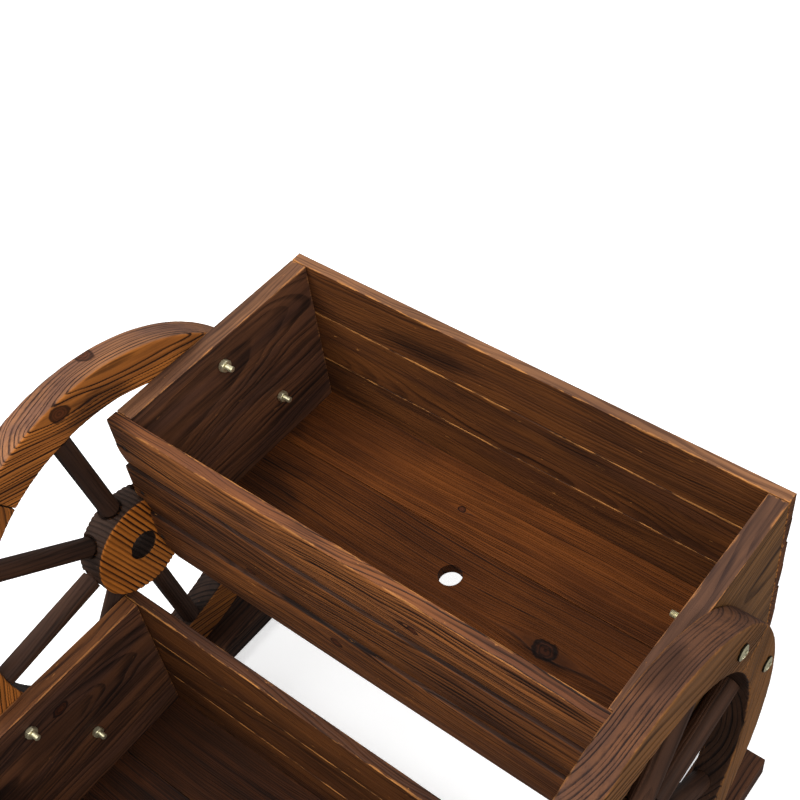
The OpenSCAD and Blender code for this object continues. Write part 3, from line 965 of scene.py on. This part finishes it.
def loft(shape, rings, close=False):
    """Joins rings of points, all with the same count, by faces. close joins the last to the first."""
    made = [[shape.verts.new(point) for point in ring] for ring in rings]
    pairs = list(zip(made, made[1:])) + ([(made[-1], made[0])] if close else [])
    for before, after in pairs:
        for k, vertex in enumerate(before):
            following = (k + 1) % len(before)
            shape.faces.new((vertex, before[following], after[following], after[k]))
    if not close:
        shape.faces.new(made[0])
        shape.faces.new(reversed(made[-1]))


def turned_ring(centre, out, spot, radius, count):
    """A ring of points around an axis along X. radius may change with the angle."""
    ring = []
    for k in range(count):
        angle = math.tau * k / count
        size = radius(angle) if callable(radius) else radius
        across, up = size * math.cos(angle), size * math.sin(angle)
        ring.append((centre.x + out * spot, centre.y + across, centre.z + up))
    return ring


THREAD_PITCH = 1.0 * MM
THREAD_DEPTH = 0.45 * MM
THREAD_LENGTH = 14 * MM
THREAD_STEPS = 8         # rings of points along each turn of the thread
BOLT_SIDES = 48
NUT_SIDES = 72
HEAD_HEIGHT = 3.5 * MM
HEAD_DROP = 0.62         # how much lower the head's rim is than its middle, as a share of its height
CROSS_HALF_WIDTH = 1.0 * MM
CROSS_REACH = 4.2 * MM
CROSS_DEPTH = 2.2 * MM
CROSS_POINT = 5.2 * MM   # how far from the middle the cross would run out of depth
CROSS_TURN = math.radians(20)
THREAD_INSET = 0.05 * MM  # how far inside the CAD's bolt the thread and the nut's hole lie
SHANK_INSET = 0.1 * MM


def thread_radius(spot):
    """A screw thread's radius at a place along the bolt, as it changes with the angle."""
    def radius(angle):
        turn = (spot / THREAD_PITCH - angle / math.tau) % 1.0
        return BOLT_RADIUS - THREAD_DEPTH * abs(2 * turn - 1) - THREAD_INSET
    return radius


def cross_cut(face, out, size, share):
    """One ring of a domed head's top at a share of its radius, sunk where the driver's cross goes in."""
    ring = []
    for k in range(BOLT_SIDES):
        angle = math.tau * k / BOLT_SIDES + CROSS_TURN
        across, up = size * share * math.cos(angle), size * share * math.sin(angle)
        near, far = sorted((abs(across), abs(up)))
        height = HEAD_HEIGHT * (1 - HEAD_DROP * share ** 2)
        if near < CROSS_HALF_WIDTH and far < CROSS_REACH:
            height -= CROSS_DEPTH * (1 - far / CROSS_POINT)
        ring.append((face.x + out * height, face.y + across, face.z + up))
    return ring


def bolt_rings(axis, out, inner, face, head):
    """A bolt's rings from its threaded end to the rim of its head, and then over the head's top."""
    start = inner + 0.4 * MM
    thread_end = inner + THREAD_LENGTH
    steps = round(THREAD_LENGTH / THREAD_PITCH * THREAD_STEPS)
    stations = [(inner, 0.4 * MM), (inner, BOLT_RADIUS - 0.9 * MM)]
    for k in range(1, steps):
        spot = start + (thread_end - start) * k / steps
        stations.append((spot, thread_radius(spot)))
    shank = BOLT_RADIUS - SHANK_INSET
    stations += [(thread_end, shank), (face, shank), (face, head * 0.97), (face + 0.4 * MM, head),
                 (face + 0.9 * MM, head)]
    rings = [turned_ring(axis, out, spot, radius, BOLT_SIDES) for spot, radius in stations]
    middle = axis + Vector((out * face, 0, 0))
    return rings + [cross_cut(middle, out, head, 0.98 - 0.04 * k) for k in range(24)]


def bolt_shape(shape, low, high):
    """A domed bolt with a cross in its head, a plain shank and a thread at its inner end."""
    centre = (low + high) / 2
    out = 1.0 if centre.x > 0 else -1.0
    inner, outer = sorted((abs(low.x), abs(high.x)))
    head = (high.y - low.y) / 2
    face = outer - HEAD_HEIGHT
    axis = Vector((0.0, centre.y, centre.z))
    before = len(shape.faces)
    loft(shape, bolt_rings(axis, out, inner, face, head))
    shape.faces.ensure_lookup_table()
    # Painted shade: faces in the cross recess and round the head's rim take the second, dark metal.
    for side in shape.faces[before:]:
        middle = side.calc_center_median() - axis
        near, far = sorted((abs(middle.y), abs(middle.z)))
        in_cross = near < CROSS_HALF_WIDTH - 0.1 * MM and far < CROSS_REACH - 0.2 * MM
        if middle.x * out > face and (in_cross or math.hypot(near, far) > head * 0.95):
            side.material_index = 1


def nut_shape(shape, low, high, turn):
    """A six-sided nut with turned corners and a hole."""
    centre = (low + high) / 2
    out = 1.0 if centre.x > 0 else -1.0
    inner, outer = sorted((abs(low.x), abs(high.x)))
    flat = (high.y - low.y) / 2 * (1.0 if high.y - low.y < high.z - low.z else math.cos(math.pi / 6))
    axis = Vector((0.0, centre.y, centre.z))

    def hexagon(limit):
        def radius(angle):
            folded = (angle + turn) % (math.pi / 3) - math.pi / 6
            return min(flat / math.cos(folded), limit)
        return radius

    hole = BOLT_RADIUS - THREAD_INSET
    corner = flat / math.cos(math.pi / 6)
    stations = [(inner, hole), (inner, hexagon(flat * 0.96)), (inner + 0.5 * MM, hexagon(flat * 1.06)),
                (inner + 1.0 * MM, hexagon(corner)), (outer - 1.0 * MM, hexagon(corner)),
                (outer - 0.5 * MM, hexagon(flat * 1.06)), (outer, hexagon(flat * 0.96)), (outer, hole)]
    rings = [turned_ring(axis, out, spot, radius, NUT_SIDES) for spot, radius in stations]
    loft(shape, rings, close=True)


def metal_piece(name, node, build, material):
    shape = bmesh.new()
    for low, high in solids(node):
        build(shape, low, high)
    return add_piece(name, shape, material, [node])


def paint(node, material):
    """Gives a CAD node its material, for the small pieces that show as the CAD has them."""
    materials = frame["nodes"][node].data.materials
    materials.clear()
    materials.append(material)


def make_metal():
    yellow = metal("yellow_zinc", (216, 208, 172), 0.16, 0.3, plated=0.75)
    # The dark second metal is painted shade for the bolt heads' cross recesses and rims.
    shade_metal = metal("painted_recess_shade", (46, 40, 30), 0.5, 0.8)
    dark = metal("nail_steel", (24, 22, 23), 0.5, 0.6, plated=0.1)
    bright = metal("screw_steel", (200, 196, 188), 0.25, 0.4)
    dice = random.Random(67)
    metal_piece("rim_bolts_piece", "rim_bolts", bolt_shape, yellow).data.materials.append(shade_metal)
    metal_piece("rim_nuts_piece", "rim_nuts",
                lambda shape, low, high: nut_shape(shape, low, high, dice.uniform(0, 1)), yellow)
    for node, material in (("upper_nails", dark), ("lower_nails", dark), ("foot_screws", bright)):
        paint(node, material)
    for index, side in enumerate(SIDES):
        node = f"{side}_rim_dowels"
        grain = Grain(centre_of(node), ALONG_Y, (0.02, 0.02), WOODS["peg_wood"]["ring"], 0.004, 90 + index)
        paint(node, wood(node + "_wood", "peg_wood", grain, no_edge))


# --- Stage ---

# The photo's viewpoint, with its turns in degrees
CAMERA_PLACE = Vector((0.46298, -0.34575, 1.17812))
CAMERA_AZIMUTH = 42.83
CAMERA_ELEVATION = 48.68
CAMERA_ROLL = -7.04
CAMERA_LENS = 59.70
CAMERA_SHIFT = (-0.0519, 0.0311)


def make_camera():
    data = bpy.data.cameras.new("camera")
    data.lens = CAMERA_LENS
    data.sensor_width = 36.0
    data.shift_x, data.shift_y = CAMERA_SHIFT
    data.clip_start = 0.01
    camera = new_object("camera", data)
    turn = (Matrix.Rotation(math.radians(CAMERA_AZIMUTH), 4, "Z")
            @ Matrix.Rotation(math.radians(90 - CAMERA_ELEVATION), 4, "X")
            @ Matrix.Rotation(math.radians(CAMERA_ROLL), 4, "Z"))
    camera.matrix_world = Matrix.Translation(CAMERA_PLACE) @ turn
    bpy.context.scene.camera = camera


def add_softbox(name, place, aim, size, power):
    data = bpy.data.lights.new(name, "AREA")
    data.shape = "DISK"
    data.size = size
    data.energy = power
    light = new_object(name, data)
    light.location = place
    light.rotation_euler = (Vector(place) - Vector(aim)).to_track_quat("Z", "Y").to_euler()


def make_floor():
    """The floor shows and takes shadows, but the boards' light from below comes from the world instead."""
    mesh = bpy.data.meshes.new("floor")
    shape = bmesh.new()
    bmesh.ops.create_grid(shape, x_segments=1, y_segments=1, size=12.0)
    shape.to_mesh(mesh)
    shape.free()
    floor = new_object("floor", mesh)
    floor.location.z = -0.0005
    floor.visible_diffuse = False
    floor.visible_glossy = False
    material = bpy.data.materials.new("pale_floor")
    material.use_nodes = True
    Graph(material.node_tree).filled(material.node_tree.nodes["Principled BSDF"], {
        "Base Color": (0.85, 0.85, 0.85, 1.0), "Roughness": 0.9,
        "Emission Color": (1.0, 1.0, 1.0, 1.0), "Emission Strength": 0.55,
    })
    mesh.materials.append(material)


def make_world():
    """White studio walls and ceiling, and a dimmer floor seen by the undersides."""
    world = bpy.data.worlds.new("studio")
    bpy.context.scene.world = world
    world.use_nodes = True
    g = Graph(world.node_tree)
    _, _, up = g.split(g.node("ShaderNodeTexCoord").outputs["Generated"])
    shade = g.ramp(up, -0.25, 0.1, 0.25, 1.0)
    background = world.node_tree.nodes["Background"]
    g.put(background.inputs["Color"], g.join(shade, shade, shade))
    background.inputs["Strength"].default_value = 0.85


def make_stage():
    make_floor()
    make_world()
    add_softbox("key", (-0.7, -0.9, 2.1), (0, 0, 0.2), 1.3, 40)
    add_softbox("fill", (1.6, -0.6, 1.6), (0, 0, 0.2), 1.6, 18)
    bpy.context.scene.view_settings.view_transform = "Standard"


make_camera()
make_planks()
make_ends()
make_floors()
make_rims()
make_spokes()
make_hubs()
make_feet()
make_metal()
make_stage()
